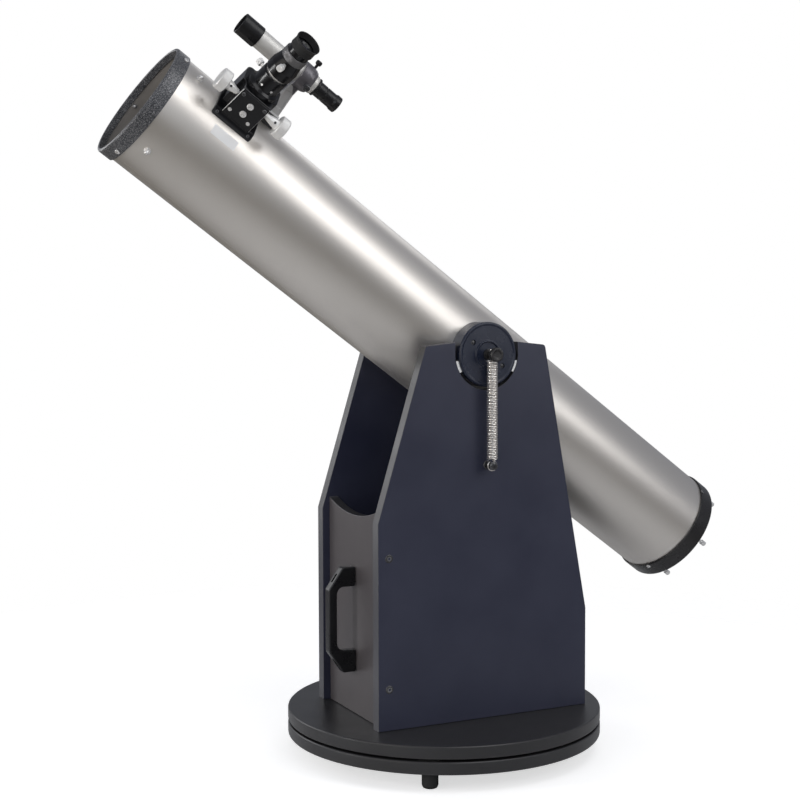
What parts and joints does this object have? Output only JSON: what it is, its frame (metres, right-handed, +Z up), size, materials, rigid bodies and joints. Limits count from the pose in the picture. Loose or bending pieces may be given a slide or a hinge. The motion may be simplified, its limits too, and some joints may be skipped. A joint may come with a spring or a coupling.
{
  "type": "dobsonian telescope",
  "caption": "Newtonian reflector telescope on a turning rocker-box mount, with a rack focuser, eyepiece, finder scope, side bearings, tension springs and a carrying handle.",
  "frame": {"origin": "middle of the bounding box on the floor plane, at the bottom of the three feet; the vertical azimuth axis stands at x = 0.024 m, y = 0", "axes": "+Z up; -X is the way the tube's open front points; -Y is the side with the eyepiece; the altitude axis is parallel to Y at x = 0.040 m, z = 0.647 m"},
  "size_m": [1.0743, 0.512, 1.1494],
  "materials": {
    "black_laminate": "fine-grained black laminate, satin",
    "rubber": "matt",
    "white_plastic": "smooth nylon",
    "black_plastic": "satin moulded",
    "black_steel": "matt black",
    "bright_steel": "bright plated",
    "tube_paint": "satin metallic silver",
    "crinkle_black": "crinkle coating",
    "black_metal": "semi-gloss black",
    "grey_metal": "satin grey",
    "silver_metal": "satin silver",
    "mirror": "polished first surface"
  },
  "bodies": {
    "ground": {"ground_board": "black_laminate", "foot_1": "rubber", "foot_2": "rubber", "foot_3": "rubber", "azimuth_pad_1": "white_plastic", "azimuth_pad_2": "white_plastic", "azimuth_pad_3": "white_plastic", "pivot_bolt": "black_steel", "pivot_nut": "bright_steel"},
    "rocker": {"azimuth_board": "black_laminate", "side_board_left": "black_laminate", "side_board_right": "black_laminate", "front_board": "black_laminate", "carry_handle": "black_plastic", "cradle_pad_left_front": "white_plastic", "cradle_pad_left_rear": "white_plastic", "cradle_pad_right_front": "white_plastic", "cradle_pad_right_rear": "white_plastic", "spring_anchor_left": "black_steel", "spring_anchor_right": "black_steel", "tension_spring_left": "bright_steel", "tension_spring_right": "bright_steel"},
    "tube": {"optical_tube": "tube_paint", "front_ring": "crinkle_black", "rear_ring": "crinkle_black", "mirror_carrier": "black_metal", "primary_mirror": "mirror", "spider": "black_steel", "secondary_holder": "black_metal", "secondary_mirror": "mirror", "side_bearing_left": "black_plastic", "side_bearing_right": "black_plastic", "spring_knob_left": "black_plastic", "spring_knob_right": "black_plastic", "focuser_housing": "black_metal", "pinion_cover": "black_metal", "finder_shoe": "black_metal"},
    "drawtube": {"drawtube": "black_metal", "drawtube_head": "black_metal"},
    "eyepiece": {"eyepiece": "black_metal", "eyecup": "rubber"},
    "eyepiece_screw": {"eyepiece_screw": "silver_metal"},
    "focus_lock": {"focus_lock_screw": "silver_metal"},
    "pinion": {"pinion_shaft": "bright_steel", "focus_knob_front": "silver_metal", "focus_knob_rear": "silver_metal"},
    "finder": {"finder_bracket": "grey_metal", "finder_tube": "silver_metal", "finder_eyepiece": "black_plastic"},
    "finder_hood": {"finder_hood": "black_plastic"},
    "finder_screw_near": {"finder_screw_near": "silver_metal"},
    "finder_screw_far": {"finder_screw_far": "silver_metal"},
    "finder_pin": {"finder_spring_pin": "black_plastic"},
    "shoe_screw": {"shoe_screw": "black_plastic"},
    "collimation_bolt_1": {"collimation_bolt_1": "bright_steel"},
    "collimation_bolt_2": {"collimation_bolt_2": "bright_steel"},
    "collimation_bolt_3": {"collimation_bolt_3": "bright_steel"},
    "lock_bolt_1": {"lock_bolt_1": "bright_steel"},
    "lock_bolt_2": {"lock_bolt_2": "bright_steel"},
    "lock_bolt_3": {"lock_bolt_3": "bright_steel"}
  },
  "joints": [
    {"name": "azimuth_turn", "type": "hinge", "parent": "ground", "child": "rocker", "pos_m": [0.02406, 0, 0.06], "axis": [0, 0, 1], "continuous": true},
    {"name": "altitude_tilt", "type": "hinge", "parent": "rocker", "child": "tube", "pos_m": [0.03986, 0, 0.647], "axis": [0, 1, 0], "range_deg": [-36, 53.9]},
    {"name": "focus_travel", "type": "slide", "parent": "tube", "child": "drawtube", "axis": [0.3783, -0.766, 0.5197], "range_m": [-0.004, 0.03]},
    {"name": "pinion_turn", "type": "hinge", "parent": "tube", "child": "pinion", "pos_m": [-0.34498, -0.11532, 1.01209], "axis": [-0.8085, 0, 0.5885], "range_deg": [-500, 70]},
    {"name": "eyepiece_pull", "type": "slide", "parent": "drawtube", "child": "eyepiece", "axis": [0.3783, -0.766, 0.5197], "range_m": [0, 0.045]},
    {"name": "eyepiece_screw_turn", "type": "hinge", "parent": "drawtube", "child": "eyepiece_screw", "pos_m": [-0.30522, -0.1624, 1.06672], "axis": [-0.6675, -0.6147, -0.4202], "range_deg": [0, 720]},
    {"name": "focus_lock_turn", "type": "hinge", "parent": "tube", "child": "focus_lock", "pos_m": [-0.32054, -0.13138, 1.04568], "axis": [-0.4037, 0.3687, 0.8373], "range_deg": [0, 720]},
    {"name": "finder_slide", "type": "slide", "parent": "tube", "child": "finder", "axis": [0.8085, 0, -0.5885], "range_m": [0, 0.06]},
    {"name": "finder_focus", "type": "hinge", "parent": "finder", "child": "finder_hood", "pos_m": [-0.23771, -0.06235, 1.06092], "axis": [-0.8085, 0, 0.5885], "range_deg": [-360, 360]},
    {"name": "finder_screw_near_turn", "type": "hinge", "parent": "finder", "child": "finder_screw_near", "pos_m": [-0.23609, -0.06235, 1.05974], "axis": [-0.3783, -0.766, -0.5197], "range_deg": [-360, 360]},
    {"name": "finder_screw_far_turn", "type": "hinge", "parent": "finder", "child": "finder_screw_far", "pos_m": [-0.23609, -0.06235, 1.05974], "axis": [0, 1, 0], "range_deg": [-360, 360]},
    {"name": "finder_pin_pull", "type": "slide", "parent": "finder", "child": "finder_pin", "axis": [0.553, -0.342, 0.7597], "range_m": [0, 0.004], "stiffness_N_per_m": 800, "springref_m": -0.003},
    {"name": "shoe_screw_turn", "type": "hinge", "parent": "tube", "child": "shoe_screw", "pos_m": [-0.28962, -0.03574, 1.00828], "axis": [-0.2013, -0.9397, -0.2765], "range_deg": [0, 720]},
    {"name": "collimation_bolt_1_turn", "type": "hinge", "parent": "tube", "child": "collimation_bolt_1", "pos_m": [0.53344, -0.04761, 0.37183], "axis": [-0.8085, 0, 0.5885], "range_deg": [-360, 360]},
    {"name": "lock_bolt_1_turn", "type": "hinge", "parent": "tube", "child": "lock_bolt_1", "pos_m": [0.48917, -0.08268, 0.31101], "axis": [-0.8085, 0, 0.5885], "range_deg": [-360, 360]},
    {"name": "collimation_bolt_2_turn", "type": "hinge", "parent": "tube", "child": "collimation_bolt_2", "pos_m": [0.44916, -0.03508, 0.25604], "axis": [-0.8085, 0, 0.5885], "range_deg": [-360, 360]},
    {"name": "lock_bolt_2_turn", "type": "hinge", "parent": "tube", "child": "lock_bolt_2", "pos_m": [0.45342, 0.04761, 0.26189], "axis": [-0.8085, 0, 0.5885], "range_deg": [-360, 360]},
    {"name": "collimation_bolt_3_turn", "type": "hinge", "parent": "tube", "child": "collimation_bolt_3", "pos_m": [0.49769, 0.08268, 0.32271], "axis": [-0.8085, 0, 0.5885], "range_deg": [-360, 360]},
    {"name": "lock_bolt_3_turn", "type": "hinge", "parent": "tube", "child": "lock_bolt_3", "pos_m": [0.5377, 0.03508, 0.37768], "axis": [-0.8085, 0, 0.5885], "range_deg": [-360, 360]}
  ],
  "couplings": [
    {"joint": "pinion_turn", "follows": "focus_travel", "rad_per_m": -285.71}
  ]
}
